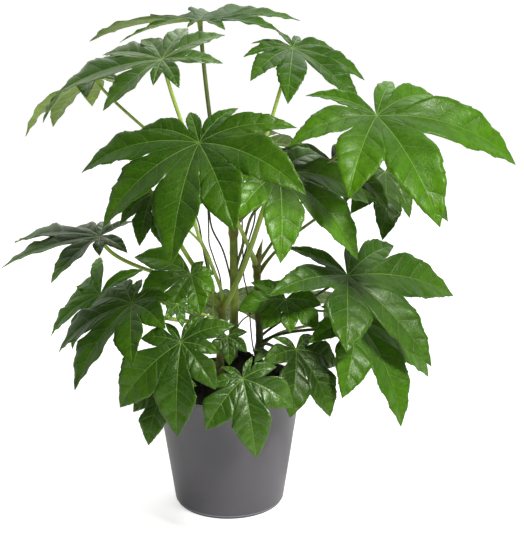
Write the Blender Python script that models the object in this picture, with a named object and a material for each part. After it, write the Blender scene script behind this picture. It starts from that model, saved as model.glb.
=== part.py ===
"""Fatsia japonica in its pot: three leafy stems with large lobed leaves on long stalks.

Units are metres and angles are degrees. The pot's axis is Z and the pot stands on z = 0.
The front of the plant faces -Y.
"""
import math
from collections import namedtuple

import bmesh
import bpy
from mathutils import Euler, Vector, noise

# Pot: a plain tapered shell with a small bevel at the foot
POT_HEIGHT = 0.240
POT_RIM_RADIUS = 0.140
POT_BASE_RADIUS = 0.106
POT_WALL = 0.0045
POT_FLOOR = 0.006
POT_FOOT_BEVEL = 0.004
POT_SIDES = 56

# Soil: fills the pot and rises in a rough mound round the stems
SOIL_EDGE_HEIGHT = 0.222
SOIL_MOUND_HEIGHT = 0.290
SOIL_MOUND_CENTRE = (0.022, 0.025)
SOIL_MOUND_RADIUS = 0.105
SOIL_ROUGHNESS = 0.012
SOIL_LUMPS_PER_METRE = 40
SOIL_RINGS = 7
STEM_BASE_HEIGHT = 0.152

# Gaps: between neighbours, and round the stems in the soil
CLEARANCE = 0.0003
HOLE_CLEARANCE = 0.0004
HOLE_STEPS = 3

# Stems
STEM_SIDES = 12
STEM_STEPS = 12

# Blades: all leaves share these proportions. Places along a lobe are shares of its length, and
# LOBE_OUTLINE gives the edge as (share of the length, share of the greatest half width).
BLADE_THICKNESS = 0.0011
BLADE_RISE = 13
LOBE_FOLD = 0.20
LOBE_HALF_WIDTH = 0.235
HEEL_LOBES_FROM = 75
HEEL_LOBES_NARROWER = 0.28
LOBE_OUTLINE = ((0.44, 0.98), (0.56, 0.96), (0.68, 0.79), (0.695, 0.70), (0.84, 0.42))
LOBE_GAP = 0.04
MIDRIB_POINTS = (0.30, 0.55, 0.78)
SINUS_DEPTH = 0.37
HEEL_LENGTH = 0.006
HEEL_HALF_ANGLE = 45

# Leaf stalks: thick at the foot, leaving the stem upwards and meeting the blade squarely
STALK_FOOT_RADIUS = 0.0045
STALK_RADIUS = 0.0027
STALK_SIDES = 6
STALK_STEPS = 8
STALK_REACH = 0.3
STALK_OUTWARD = 0.6
STALK_UPWARD = 0.8

SMOOTH_ANGLE = 40

LOBE_SPREADS = {
    5: ((-100, 0.70), (-50, 0.92), (0, 1.0), (50, 0.92), (100, 0.70)),
    7: ((-132, 0.58), (-87, 0.82), (-43, 0.95), (0, 1.0), (43, 0.95), (87, 0.82), (132, 0.58)),
    9: ((-152, 0.50), (-115, 0.72), (-76, 0.88), (-38, 0.97), (0, 1.0),
        (38, 0.97), (76, 0.88), (115, 0.72), (152, 0.50)),
}


def even_lobes(count, reach):
    """The (angle, length) of each lobe of an even leaf whose middle lobe is reach long."""
    return tuple((angle, share * reach) for angle, share in LOBE_SPREADS[count])


Stem = namedtuple("Stem", "foot top radius tip_radius bow")
STEMS = {
    "main": Stem((0.004, 0.005), (0.010, 0.010, 0.575), 0.0092, 0.0075, 0.003),
    "left": Stem((-0.014, -0.030), (-0.010, -0.030, 0.405), 0.0075, 0.0062, -0.003),
    "right": Stem((0.056, 0.030), (0.053, 0.032, 0.470), 0.0080, 0.0065, 0.004),
}

# A leaf's stalk leaves its stem at scar height. The hub is where stalk and blade meet. Angle 0 on
# the blade points along heading and sinks by dip, and roll lifts the side on its left. Droop is
# how far a lobe bends down on its way to the tip. Lobes are (angle, length), and one that bends
# more or less than the rest has its own droop as a third value, and one that is wider its own
# width as a fourth. Width is the lobes' share of the full half width, cut the share of the usual
# sinus depth, and turn the share of its length over which the stalk bends to meet its blade.
Leaf = namedtuple("Leaf", "stem scar hub heading dip roll droop lobes width cut turn",
                  defaults=(0.9, 1.0, STALK_REACH))
LEAVES = {
    "crown": Leaf("main", 0.530, (-0.053, 0.120, 0.914), 94, -4, -4, 42, (
        (-150, 0.090), (-117, 0.165), (-82, 0.196, 36), (-47, 0.200, 31), (-10, 0.190, 31),
        (30, 0.200), (72, 0.232), (112, 0.165), (150, 0.050))),
    "high_left": Leaf("main", 0.545, (-0.112, -0.033, 0.852), 190, 15, -30, 45, (
        (-158, 0.140), (-124, 0.125), (-82, 0.105), (-45, 0.140), (-10, 0.205),
        (27, 0.145), (60, 0.062), (98, 0.080), (160, 0.110))),
    "back_left": Leaf("main", 0.560, (-0.252, 0.130, 0.802), 190, 20, 11, 60, (
        (-120, 0.090), (-75, 0.120), (-38, 0.160), (0, 0.180), (38, 0.165), (75, 0.120), (120, 0.080)),
        turn=0.12),
    "high_right": Leaf("main", 0.560, (0.122, 0.080, 0.865), -50, 30, 3, 40, (
        (-122, 0.080), (-94, 0.110), (-67, 0.150), (-38, 0.170), (14, 0.175), (48, 0.150),
        (88, 0.110), (130, 0.070), (168, 0.075)), width=0.72, cut=0.75),
    "right_wide": Leaf("main", 0.540, (0.266, -0.060, 0.756), -50, 35, 16, 45, (
        (-147, 0.140), (-98, 0.175, None, 1.10), (-49, 0.190, None, 1.20),
        (-6, 0.245, None, 1.05), (52, 0.285, 50, 0.88), (96, 0.160), (128, 0.130)), width=0.84),
    "centre_wide": Leaf("right", 0.462, (-0.041, -0.170, 0.724), -110, 45, 0, 40, (
        (-150, 0.085), (-101, 0.140), (-75, 0.228, None, 0.80), (-39, 0.220, None, 0.88),
        (2, 0.230), (33, 0.190, None, 1.10), (70, 0.220, None, 0.80), (110, 0.170, None, 0.75),
        (153, 0.100)), width=0.92),
    "centre_right": Leaf("left", 0.395, (0.094, -0.060, 0.655), -60, 45, 0, 45, (
        (-130, 0.080), (-90, 0.100), (-56, 0.140), (-18, 0.182), (30, 0.215, None, 0.85),
        (70, 0.200, None, 0.90), (110, 0.130))),
    "shade_right": Leaf("right", 0.460, (0.199, 0.100, 0.649), -40, 40, 0, 40, (
        (-120, 0.120), (-74, 0.115), (-22, 0.100), (29, 0.150), (72, 0.130), (115, 0.090))),
    "back_right": Leaf("right", 0.440, (0.316, 0.230, 0.608), -50, 50, 0, 40, (
        (-95, 0.100), (-61, 0.150), (-30, 0.165), (8, 0.110), (45, 0.185), (85, 0.120))),
    "right_low": Leaf("right", 0.410, (0.223, -0.030, 0.457), -40, 45, 10, 35, (
        (-142, 0.130), (-99, 0.180), (-38, 0.162, None, 1.6), (15, 0.230), (62, 0.255),
        (98, 0.165), (130, 0.110)), width=0.80),
    "right_under": Leaf("right", 0.300, (0.243, -0.020, 0.368), -45, 50, 0, 45, (
        (-130, 0.080), (-86, 0.130), (-41, 0.170, None, 1.25), (1, 0.220), (44, 0.210),
        (86, 0.140), (130, 0.080)), width=0.82, cut=0.8),
    "front_right": Leaf("right", 0.295, (0.126, -0.100, 0.336), -50, 55, 0, 40, (
        (-135, 0.050), (-85, 0.080, None, 1.10), (-28, 0.130, None, 1.15),
        (12, 0.140, None, 1.10), (61, 0.100, None, 1.30), (110, 0.060)), width=1.0, cut=1.10),
    "front_low": Leaf("left", 0.265, (0.031, -0.210, 0.321), -75, 60, 10, 40, (
        (-127, 0.045), (-85, 0.062), (-43, 0.110, None, 1.45), (3, 0.140, None, 1.20),
        (54, 0.102, None, 1.50), (104, 0.065, None, 1.20), (150, 0.045)), cut=1.15),
    "front_left": Leaf("left", 0.300, (-0.076, -0.190, 0.381), -90, 60, 10, 40, (
        (-140, 0.050), (-98, 0.078, None, 1.30), (-46, 0.160, None, 1.35),
        (-3, 0.165, None, 1.20), (36, 0.105, None, 1.20), (72, 0.070), (107, 0.100, None, 1.20),
        (145, 0.060)), cut=1.15),
    "left_low": Leaf("left", 0.340, (-0.166, -0.130, 0.432), -140, 40, 0, 40, (
        (-145, 0.070), (-112, 0.100), (-80, 0.125), (-41, 0.180), (0, 0.185), (44, 0.140),
        (82, 0.110), (120, 0.085), (152, 0.060)), width=1.10, cut=1.10),
    "left_back": Leaf("left", 0.380, (-0.248, 0.040, 0.400), 200, 40, -15, 45, (
        (-109, 0.150, None, 0.50), (-81, 0.105), (-50, 0.110), (-20, 0.140), (20, 0.120),
        (65, 0.100), (120, 0.080), (170, 0.100)), width=1.05),
    "left_high": Leaf("left", 0.400, (-0.231, -0.050, 0.537), 190, 15, -12, 40, (
        (-150, 0.080), (-105, 0.080), (-65, 0.110), (-40, 0.220), (-12, 0.200), (42, 0.140),
        (82, 0.065), (117, 0.090))),
    "behind_centre": Leaf("left", 0.398, (-0.134, -0.030, 0.613), -100, 45, 0, 40, (
        (-118, 0.055), (-78, 0.080), (-39, 0.085), (-5, 0.110), (20, 0.120), (65, 0.090), (110, 0.070))),
    "centre_low": Leaf("left", 0.380, (-0.066, -0.060, 0.467), -90, 45, 0, 40, (
        (-113, 0.120), (-67, 0.105), (-25, 0.090), (14, 0.083), (52, 0.058), (96, 0.045),
        (144, 0.040)), width=1.30),
    "young": Leaf("left", 0.360, (-0.083, -0.170, 0.443), -60, 60, 0, 30, even_lobes(5, 0.042)),
    "inner_right": Leaf("right", 0.360, (0.108, -0.030, 0.412), -80, 45, 0, 35, (
        (-125, 0.075), (-80, 0.095), (-40, 0.078), (0, 0.070), (40, 0.085), (78, 0.070)),
        width=1.30, cut=1.2),
    "inner_low": Leaf("right", 0.285, (0.076, -0.010, 0.302), -80, 25, 0, 30, even_lobes(5, 0.045)),
    "inner_left": Leaf("left", 0.325, (0.000, -0.070, 0.352), -80, 60, 0, 35, (
        (-100, 0.040), (-48, 0.048), (0, 0.055), (48, 0.048), (100, 0.040))),
    "under_left": Leaf("left", 0.280, (-0.110, -0.120, 0.282), -110, 60, 0, 35, (
        (-135, 0.060), (-95, 0.100), (-42, 0.085), (-7, 0.120), (40, 0.080), (90, 0.060)), width=1.15),
    "back_high": Leaf("main", 0.530, (0.040, 0.260, 0.660), 80, 40, 0, 45, even_lobes(7, 0.180)),
    "back_low": Leaf("main", 0.340, (0.000, 0.190, 0.350), 115, 45, 0, 45, even_lobes(7, 0.130)),
    "back_low_right": Leaf("right", 0.290, (0.235, 0.190, 0.335), 50, 45, 0, 45, even_lobes(7, 0.140)),
}

# sRGB colours, with roughness
POT_LOOK = ((0.37, 0.36, 0.375), 0.45)
SOIL_LOOK = ((0.09, 0.07, 0.055), 0.95)
STEM_LOOK = ((0.36, 0.36, 0.20), 0.60)
LEAF_LOOK = ((0.20, 0.41, 0.12), 0.35)


def linear(value):
    """Turn one sRGB value into the linear value that a shader takes."""
    return value / 12.92 if value <= 0.04045 else ((value + 0.055) / 1.055) ** 2.4


def finish(obj, look):
    """Give an object a material of its own."""
    colour, roughness = look
    material = bpy.data.materials.new(obj.name)
    material.use_nodes = True
    shader = material.node_tree.nodes["Principled BSDF"]
    shader.inputs["Base Color"].default_value = (*[linear(value) for value in colour], 1.0)
    shader.inputs["Roughness"].default_value = roughness
    obj.data.materials.clear()
    obj.data.materials.append(material)


def add_object(name, data):
    obj = bpy.data.objects.new(name, data)
    bpy.context.scene.collection.objects.link(obj)
    return obj


def turned(name, profile, sides):
    """Turn a profile of (radius, height) points, which starts and ends on the axis, round Z."""
    mesh = bpy.data.meshes.new(name)
    body = bmesh.new()
    points = [body.verts.new((radius, 0, height)) for radius, height in profile]
    edges = [body.edges.new(pair) for pair in zip(points, points[1:])]
    bmesh.ops.spin(body, geom=points + edges, axis=(0, 0, 1), cent=(0, 0, 0),
                   angle=math.tau, steps=sides)
    bmesh.ops.remove_doubles(body, verts=body.verts, dist=0.00001)
    bmesh.ops.recalc_face_normals(body, faces=body.faces)
    body.to_mesh(mesh)
    body.free()
    mesh.shade_smooth()
    mesh.set_sharp_from_angle(angle=math.radians(SMOOTH_ANGLE))
    return add_object(name, mesh)


def build_pot():
    inner_base = POT_BASE_RADIUS + POT_FLOOR / POT_HEIGHT * (POT_RIM_RADIUS - POT_BASE_RADIUS)
    round_off = POT_WALL * 0.3
    pot = turned("pot", [
        (0, 0),
        (POT_BASE_RADIUS - POT_FOOT_BEVEL, 0),
        (POT_BASE_RADIUS, POT_FOOT_BEVEL),
        (POT_RIM_RADIUS, POT_HEIGHT - round_off),
        (POT_RIM_RADIUS - round_off, POT_HEIGHT),
        (POT_RIM_RADIUS - POT_WALL + round_off, POT_HEIGHT),
        (POT_RIM_RADIUS - POT_WALL, POT_HEIGHT - round_off),
        (inner_base - POT_WALL, POT_FLOOR),
        (0, POT_FLOOR),
    ], POT_SIDES)
    finish(pot, POT_LOOK)


def inner_radius(height):
    """The pot's inner radius at a height."""
    rise = (height - POT_FLOOR) / (POT_HEIGHT - POT_FLOOR)
    low = POT_BASE_RADIUS + POT_FLOOR / POT_HEIGHT * (POT_RIM_RADIUS - POT_BASE_RADIUS)
    return low - POT_WALL + rise * (POT_RIM_RADIUS - low)


def soil_height(x, y):
    """The soil's top: level at the pot's wall, with a rough mound round the stems."""
    away = math.hypot(x - SOIL_MOUND_CENTRE[0], y - SOIL_MOUND_CENTRE[1]) / SOIL_MOUND_RADIUS
    mound = 0.5 + 0.5 * math.cos(math.pi * min(away, 1))
    rough = noise.noise(Vector((x, y, 0)) * SOIL_LUMPS_PER_METRE) * SOIL_ROUGHNESS
    return SOIL_EDGE_HEIGHT + mound * (SOIL_MOUND_HEIGHT - SOIL_EDGE_HEIGHT) + rough * mound


def stem_axis(stem, height):
    """The point on a stem's axis at a height, with a slight bow sideways."""
    low = STEM_BASE_HEIGHT
    along = (height - low) / (stem.top[2] - low)
    x = stem.foot[0] + (stem.top[0] - stem.foot[0]) * along + stem.bow * math.sin(math.pi * along)
    y = stem.foot[1] + (stem.top[1] - stem.foot[1]) * along
    return Vector((x, y, height))


def build_soil():
    floor = POT_FLOOR + CLEARANCE
    profile = [(0, floor), (inner_radius(floor) - CLEARANCE * 1.5, floor)]
    edge = inner_radius(SOIL_EDGE_HEIGHT) - CLEARANCE * 1.5
    for ring in range(SOIL_RINGS + 1):
        profile.append((edge * (1 - ring / SOIL_RINGS), SOIL_EDGE_HEIGHT))
    soil = turned("soil", profile, POT_SIDES)
    for vertex in soil.data.vertices:
        radius = math.hypot(vertex.co.x, vertex.co.y)
        if vertex.co.z > floor + 0.01 and radius < edge - 0.001:
            vertex.co.z = soil_height(vertex.co.x, vertex.co.y)
    for key, stem in STEMS.items():
        cut_stem_hole(soil, key, stem)
    finish(soil, SOIL_LOOK)


def cut_stem_hole(soil, key, stem):
    """A plain blind hole for the foot of a stem."""
    low = STEM_BASE_HEIGHT - CLEARANCE
    heights = [low + (SOIL_MOUND_HEIGHT + 0.02 - low) * step / HOLE_STEPS for step in range(HOLE_STEPS + 1)]
    cutter = limb("cutter", [stem_axis(stem, height) for height in heights],
                  [stem.radius + HOLE_CLEARANCE] * len(heights), STEM_SIDES)
    cut = soil.modifiers.new("hole_" + key, "BOOLEAN")
    cut.object = cutter
    cut.operation = "DIFFERENCE"
    apply_modifiers(soil)
    bpy.data.objects.remove(cutter, do_unlink=True)


def apply_modifiers(obj):
    """Replace an object's mesh by what its modifiers make of it."""
    bpy.context.view_layer.update()
    graph = bpy.context.evaluated_depsgraph_get()
    mesh = bpy.data.meshes.new_from_object(obj.evaluated_get(graph))
    obj.modifiers.clear()
    obj.data = mesh


def limb(name, points, radii, sides, end_direction=None):
    """A closed round limb through points, with a radius at each of them."""
    mesh = bpy.data.meshes.new(name)
    body = bmesh.new()
    rings = []
    facing = None
    for index, point in enumerate(points):
        before = points[max(index - 1, 0)]
        after = points[min(index + 1, len(points) - 1)]
        along = (Vector(after) - Vector(before)).normalized()
        if end_direction and index == len(points) - 1:
            along = end_direction
        if facing is None:
            facing = along.orthogonal().normalized()
        facing = (facing - along * facing.dot(along)).normalized()
        across = along.cross(facing)
        ring = []
        for side in range(sides):
            turn = math.tau * side / sides
            offset = facing * math.cos(turn) + across * math.sin(turn)
            ring.append(body.verts.new(Vector(point) + offset * radii[index]))
        rings.append(ring)
    for low, high in zip(rings, rings[1:]):
        for side in range(sides):
            after = (side + 1) % sides
            body.faces.new((low[side], low[after], high[after], high[side]))
    body.faces.new(list(reversed(rings[0])))
    body.faces.new(rings[-1])
    body.to_mesh(mesh)
    body.free()
    return add_object(name, mesh)


def leaf_frame(leaf):
    """The rotation of a leaf: X along the middle lobe, Z out of the upper face."""
    return Euler((math.radians(leaf.roll), math.radians(leaf.dip), math.radians(leaf.heading)), "XYZ")


def stalk_points(leaf):
    """A leaf's stalk from inside its stem to just under the hub, as a smooth curve."""
    stem = STEMS[leaf.stem]
    start = stem_axis(stem, leaf.scar)
    down = leaf_frame(leaf).to_matrix() @ Vector((0, 0, -1))
    end = Vector(leaf.hub) + down * (BLADE_THICKNESS / 2 + CLEARANCE)
    length = (end - start).length
    outward = Vector((end.x - start.x, end.y - start.y, 0)).normalized()
    first = start + (outward * STALK_OUTWARD + Vector((0, 0, STALK_UPWARD))) * length * STALK_REACH
    second = end + down * length * leaf.turn
    points = []
    for step in range(STALK_STEPS + 1):
        t = step / STALK_STEPS
        s = 1 - t
        points.append(start * s ** 3 + first * 3 * s * s * t + second * 3 * s * t * t + end * t ** 3)
    return points


def build_stem(key, stem):
    """A stem and its leaf stalks, joined into one body."""
    group = bpy.data.collections.new("parts_of_" + key)
    bpy.context.scene.collection.children.link(group)
    shares = [step / STEM_STEPS for step in range(STEM_STEPS + 1)]
    heights = [STEM_BASE_HEIGHT + (stem.top[2] - STEM_BASE_HEIGHT) * share for share in shares]
    radii = [stem.radius + (stem.tip_radius - stem.radius) * share for share in shares]
    trunk = limb("stem_" + key, [stem_axis(stem, height) for height in heights], radii, STEM_SIDES)
    for name, leaf in LEAVES.items():
        if leaf.stem != key:
            continue
        radii = [STALK_FOOT_RADIUS] + [STALK_RADIUS] * STALK_STEPS
        radii[1] = (STALK_FOOT_RADIUS + STALK_RADIUS) / 2
        up = leaf_frame(leaf).to_matrix() @ Vector((0, 0, 1))
        stalk = limb("stalk_" + name, stalk_points(leaf), radii, STALK_SIDES, up)
        bpy.context.scene.collection.objects.unlink(stalk)
        group.objects.link(stalk)
    join = trunk.modifiers.new("join", "BOOLEAN")
    join.operation = "UNION"
    join.operand_type = "COLLECTION"
    join.collection = group
    join.solver = "EXACT"
    apply_modifiers(trunk)
    for stalk in list(group.objects):
        bpy.data.objects.remove(stalk, do_unlink=True)
    bpy.data.collections.remove(group)
    trunk.data.shade_smooth()
    trunk.data.set_sharp_from_angle(angle=math.radians(SMOOTH_ANGLE))
    finish(trunk, STEM_LOOK)


def lobe_surface(angle, length, droop, along, aside):
    """The point at a place on a lobe, and the direction out of its upper face there.

    The midrib leaves the hub rising a little and bends down evenly towards the tip. The two
    halves of the lobe fold up from it.
    """
    start = math.radians(BLADE_RISE)
    bend = math.radians(droop) / length
    slope = start - bend * along
    run = (math.sin(start) - math.sin(slope)) / bend
    rise = (math.cos(slope) - math.cos(start)) / bend
    turn = math.radians(angle)
    out = Vector((math.cos(turn), math.sin(turn), 0))
    side = Vector((-math.sin(turn), math.cos(turn), 0))
    up = out * -math.sin(slope) + Vector((0, 0, math.cos(slope)))
    point = out * run + side * aside + Vector((0, 0, rise)) + up * abs(aside) * LOBE_FOLD
    return point, up


def lobe_width(leaf, lobe):
    """A lobe's share of the full half width: those near the heel are narrower."""
    own = lobe[3] if len(lobe) == 4 else 1.0
    near_heel = min(max(abs(lobe[0]) - HEEL_LOBES_FROM, 0) / 45, 1)
    return leaf.width * own * (1 - HEEL_LOBES_NARROWER * near_heel)


def lobe_edge(length, half_gap, width):
    """One edge of a lobe from just past the sinus to just short of the tip, as (along, aside).

    An edge stays clear of the middle between its lobe and the next.
    """
    edge = []
    for along, share in LOBE_OUTLINE:
        limit = (1 - LOBE_GAP) * along * math.tan(math.radians(half_gap))
        edge.append((along * length, min(LOBE_HALF_WIDTH * width * share, limit) * length))
    return edge


def full_lobes(leaf):
    """A leaf's lobes as (angle, length, droop)."""
    return [(*lobe[:2], lobe[2] if len(lobe) > 2 and lobe[2] else leaf.droop) for lobe in leaf.lobes]


def blade_triangles(leaf):
    """A blade's points, each with its upward direction, and its triangles seen from above."""
    points = [(Vector((0, 0, 0)), Vector((0, 0, 1)))]
    triangles = []
    border = []

    def add(point, up):
        points.append((point, up))
        return len(points) - 1

    lobes = full_lobes(leaf)
    count = len(lobes)
    sinuses = []
    for index in range(count - 1):
        lobe, neighbour = lobes[index], lobes[index + 1]
        half_gap = (neighbour[0] - lobe[0]) / 2
        radius = SINUS_DEPTH * leaf.cut * min(lobe[1], neighbour[1])
        along = radius * math.cos(math.radians(half_gap))
        aside = radius * math.sin(math.radians(half_gap))
        one = lobe_surface(*lobe, along, aside)
        two = lobe_surface(*neighbour, along, -aside)
        sinuses.append(add((one[0] + two[0]) / 2, (one[1] + two[1]).normalized()))
    heel_angle = (lobes[0][0] + lobes[-1][0]) / 2 + 180
    heel = add(*lobe_surface(heel_angle, lobes[0][1], leaf.droop, HEEL_LENGTH, 0))
    heel_half_gap = (360 - lobes[-1][0] + lobes[0][0]) / 2

    for index, (angle, length, droop) in enumerate(lobes):
        width = lobe_width(leaf, leaf.lobes[index])
        tip = add(*lobe_surface(angle, length, droop, length, 0))
        rib = [add(*lobe_surface(angle, length, droop, share * length, 0)) for share in MIDRIB_POINTS]
        for sign in (-1, 1):
            neighbour = index + sign
            if 0 <= neighbour < count:
                half_gap = abs(lobes[neighbour][0] - angle) / 2
                start = sinuses[min(index, neighbour)]
            else:
                half_gap = min(heel_half_gap, HEEL_HALF_ANGLE)
                start = heel
            edge = [add(*lobe_surface(angle, length, droop, along, sign * aside))
                    for along, aside in lobe_edge(length, half_gap, width)]
            zip_strip([0] + rib + [tip], [start] + edge + [tip], points, triangles, sign)
            chain = [start] + edge + [tip]
            for pair in zip(chain, chain[1:]):
                border.append(pair if sign > 0 else pair[::-1])
    return points, triangles, border


def zip_strip(inner, outer, points, triangles, sign):
    """Fill between a midrib and an edge that end at the same tip, always with the shorter rung."""
    i = 0
    j = 0
    while i < len(inner) - 1 or j < len(outer) - 1:
        if inner[i] == outer[j]:
            break
        forward_in = forward_out = math.inf
        if i < len(inner) - 1:
            forward_in = (points[inner[i + 1]][0] - points[outer[j]][0]).length
        if j < len(outer) - 1:
            forward_out = (points[inner[i]][0] - points[outer[j + 1]][0]).length
        if forward_in <= forward_out:
            triangle = (inner[i], inner[i + 1], outer[j])
            i += 1
        else:
            triangle = (inner[i], outer[j + 1], outer[j])
            j += 1
        if len(set(triangle)) == 3:
            triangles.append(triangle if sign > 0 else triangle[::-1])


def build_leaf(name, leaf):
    """One blade: the same triangles above and below, closed by a narrow wall round the edge."""
    points, triangles, border = blade_triangles(leaf)
    body = bmesh.new()
    half = BLADE_THICKNESS / 2
    upper = [body.verts.new(point + up * half) for point, up in points]
    lower = [body.verts.new(point - up * half) for point, up in points]
    for a, b, c in triangles:
        body.faces.new((upper[a], upper[b], upper[c]))
        body.faces.new((lower[c], lower[b], lower[a]))
    for a, b in border:
        body.faces.new((upper[b], upper[a], lower[a]))
        body.faces.new((upper[b], lower[a], lower[b]))
    mesh = bpy.data.meshes.new(name)
    bmesh.ops.recalc_face_normals(body, faces=body.faces)
    body.to_mesh(mesh)
    body.free()
    mesh.shade_smooth()
    mesh.set_sharp_from_angle(angle=math.radians(SMOOTH_ANGLE))
    blade = add_object(name, mesh)
    blade.location = leaf.hub
    blade.rotation_euler = leaf_frame(leaf)
    finish(blade, LEAF_LOOK)


def main():
    for item in list(bpy.data.objects):
        bpy.data.objects.remove(item, do_unlink=True)
    build_pot()
    build_soil()
    for key, stem in STEMS.items():
        build_stem(key, stem)
    for name, leaf in LEAVES.items():
        build_leaf("leaf_" + name, leaf)


main()
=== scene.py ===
# Potted fatsia japonica: fine leaves, stalks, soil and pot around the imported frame.
# Metres, +Z up, the pot's axis on Z, the front towards -Y.
import random
from math import atan2, cos, exp, hypot, log, pi, radians, sin, tan, tau

import bmesh
import bpy
from mathutils import Euler, Matrix, Vector, noise


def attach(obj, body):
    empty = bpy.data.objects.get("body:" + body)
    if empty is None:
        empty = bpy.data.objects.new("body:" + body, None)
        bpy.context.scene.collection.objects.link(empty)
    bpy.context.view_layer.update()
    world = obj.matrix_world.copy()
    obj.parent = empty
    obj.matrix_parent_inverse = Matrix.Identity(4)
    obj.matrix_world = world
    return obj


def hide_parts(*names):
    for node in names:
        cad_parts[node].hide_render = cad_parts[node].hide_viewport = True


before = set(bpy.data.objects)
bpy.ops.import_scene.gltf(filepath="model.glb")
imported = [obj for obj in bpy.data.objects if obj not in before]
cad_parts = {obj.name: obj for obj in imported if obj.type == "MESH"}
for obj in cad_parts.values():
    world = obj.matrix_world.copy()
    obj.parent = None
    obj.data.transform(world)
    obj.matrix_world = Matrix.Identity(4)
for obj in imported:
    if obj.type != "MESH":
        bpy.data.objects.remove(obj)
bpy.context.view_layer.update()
print("frame loaded:", len(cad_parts), "nodes")


def colour(red, green, blue):  # sRGB 0-255 to the linear colour that a socket takes
    values = [part / 255 for part in (red, green, blue)]
    linear = [v / 12.92 if v <= 0.04045 else ((v + 0.055) / 1.055) ** 2.4 for v in values]
    return (*linear, 1.0)


def shares(count):  # 0 to 1 in even steps
    return [step / count for step in range(count + 1)]


def between(low, high, share):
    return low + (high - low) * share


# Node helpers, for shader and geometry trees alike

class Value:  # an output of a node, for sums that become Math nodes
    def __init__(self, socket):
        self.socket = socket
        self.tree = socket.id_data

    def __add__(self, other):
        return calc("ADD", self, other)

    def __sub__(self, other):
        return calc("SUBTRACT", self, other)

    def __rsub__(self, other):
        return calc("SUBTRACT", other, self)

    def __mul__(self, other):
        return calc("MULTIPLY", self, other)

    def __truediv__(self, other):
        return calc("DIVIDE", self, other)


def feed(sockets, values):  # values are outputs of other nodes, or plain numbers, colours and names
    for name, value in values.items():
        if isinstance(value, Value):
            value.tree.links.new(value.socket, sockets[name])
        else:
            sockets[name].default_value = value


def addNode(kind, values, output=0, tree=None, **settings):
    # goes into the tree that its values come from; gives the output asked for, or a list of several
    tree = tree or next(value.tree for value in values.values() if isinstance(value, Value))
    node = tree.nodes.new(kind)
    for name, setting in settings.items():
        setattr(node, name, setting)
    feed(node.inputs, values)
    if isinstance(output, tuple):
        return [Value(node.outputs[name]) for name in output]
    return Value(node.outputs[output])


def calc(operation, *values):  # one Math node
    return addNode("ShaderNodeMath", dict(enumerate(values)), operation=operation)


def fade(value, start, end, low=0.0, high=1.0):  # a smooth step from low to high
    return addNode("ShaderNodeMapRange", {
        "Value": value, "From Min": start, "From Max": end, "To Min": low, "To Max": high,
    }, interpolation_type="SMOOTHSTEP")


def split(vector):
    return addNode("ShaderNodeSeparateXYZ", {"Vector": vector}, ("X", "Y", "Z"))


def makeGroup(name, kind, inputs, outputs):  # sockets are (label, kind) or (label, kind, default)
    tree = bpy.data.node_groups.new(name, kind)
    for label, socketKind, *default in inputs:
        socket = tree.interface.new_socket(label, in_out="INPUT", socket_type="NodeSocket" + socketKind)
        if default:
            socket.default_value = default[0]
    for label, socketKind in outputs:
        tree.interface.new_socket(label, in_out="OUTPUT", socket_type="NodeSocket" + socketKind)
    given = {socket.name: Value(socket) for socket in tree.nodes.new("NodeGroupInput").outputs}
    return tree, given, tree.nodes.new("NodeGroupOutput").inputs


def placeGroup(group, values, output=0):
    return addNode(group.bl_rna.identifier.replace("Tree", "Group"), values, output, node_tree=group)


# Geometry trees

def shaped(kind, values, output=0, **settings):  # a geometry node
    return addNode("GeometryNode" + kind, values, output, **settings)


def readAttribute(tree, name, kind="FLOAT_VECTOR"):
    return addNode("GeometryNodeInputNamedAttribute", {"Name": name}, "Attribute", tree, data_type=kind)


def scaled(vector, factor):
    return addNode("ShaderNodeVectorMath", {0: vector, "Scale": factor}, operation="SCALE")


def joined(first, *others):
    whole = shaped("JoinGeometry", {0: first})
    for other in others:
        feed(whole.socket.node.inputs, {0: other})
    return whole


def covered(shape, material, where=True):
    return shaped("SetMaterial", {"Geometry": shape, "Selection": where, "Material": material})


def finished(shape):  # smooth, with its instances made real
    smooth = shaped("SetShadeSmooth", {"Geometry": shape})
    return shaped("RealizeInstances", {"Geometry": smooth})


def tubeAlong(curve, sides, radius):
    ring = shaped("CurvePrimitiveCircle", {"Resolution": sides, "Radius": 1.0}, tree=curve.tree)
    return shaped("CurveToMesh", {"Curve": curve, "Profile Curve": ring, "Scale": radius, "Fill Caps": True})


def grow(piece, tree, values):
    # run a geometry tree on a piece and keep the plain mesh; sockets not in values keep their defaults
    modifier = piece.modifiers.new("grow", "NODES")
    modifier.node_group = tree
    for item in tree.interface.items_tree:
        if item.item_type == "SOCKET" and item.in_out == "INPUT" and item.name in values:
            modifier[item.identifier] = values[item.name]
    bpy.context.view_layer.update()
    graph = bpy.context.evaluated_depsgraph_get()
    mesh = bpy.data.meshes.new_from_object(piece.evaluated_get(graph))
    mesh.name = piece.name
    piece.modifiers.remove(modifier)
    piece.data = mesh
    return piece


def addPiece(name, mesh):
    piece = bpy.data.objects.new(name, mesh)
    bpy.context.scene.collection.objects.link(piece)
    return piece


def addAttribute(mesh, name, values, domain="POINT"):  # values are all vectors, switches or numbers
    if isinstance(values[0], tuple):
        attribute = mesh.attributes.new(name, "FLOAT_VECTOR", domain)
        attribute.data.foreach_set("vector", [part for value in values for part in value])
    else:
        kind = "BOOLEAN" if isinstance(values[0], bool) else "FLOAT"
        mesh.attributes.new(name, kind, domain).data.foreach_set("value", values)


# Materials

def newMaterial(name, **values):  # values are Principled sockets that stay the same all over
    material = bpy.data.materials.new(name)
    material.use_nodes = True
    shader = material.node_tree.nodes["Principled BSDF"]
    feed(shader.inputs, {socket.replace("_", " "): value for socket, value in values.items()})
    return material, material.node_tree, shader


def readSurface(tree, name, output="Fac"):
    return addNode("ShaderNodeAttribute", {}, output, tree, attribute_name=name)


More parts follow.
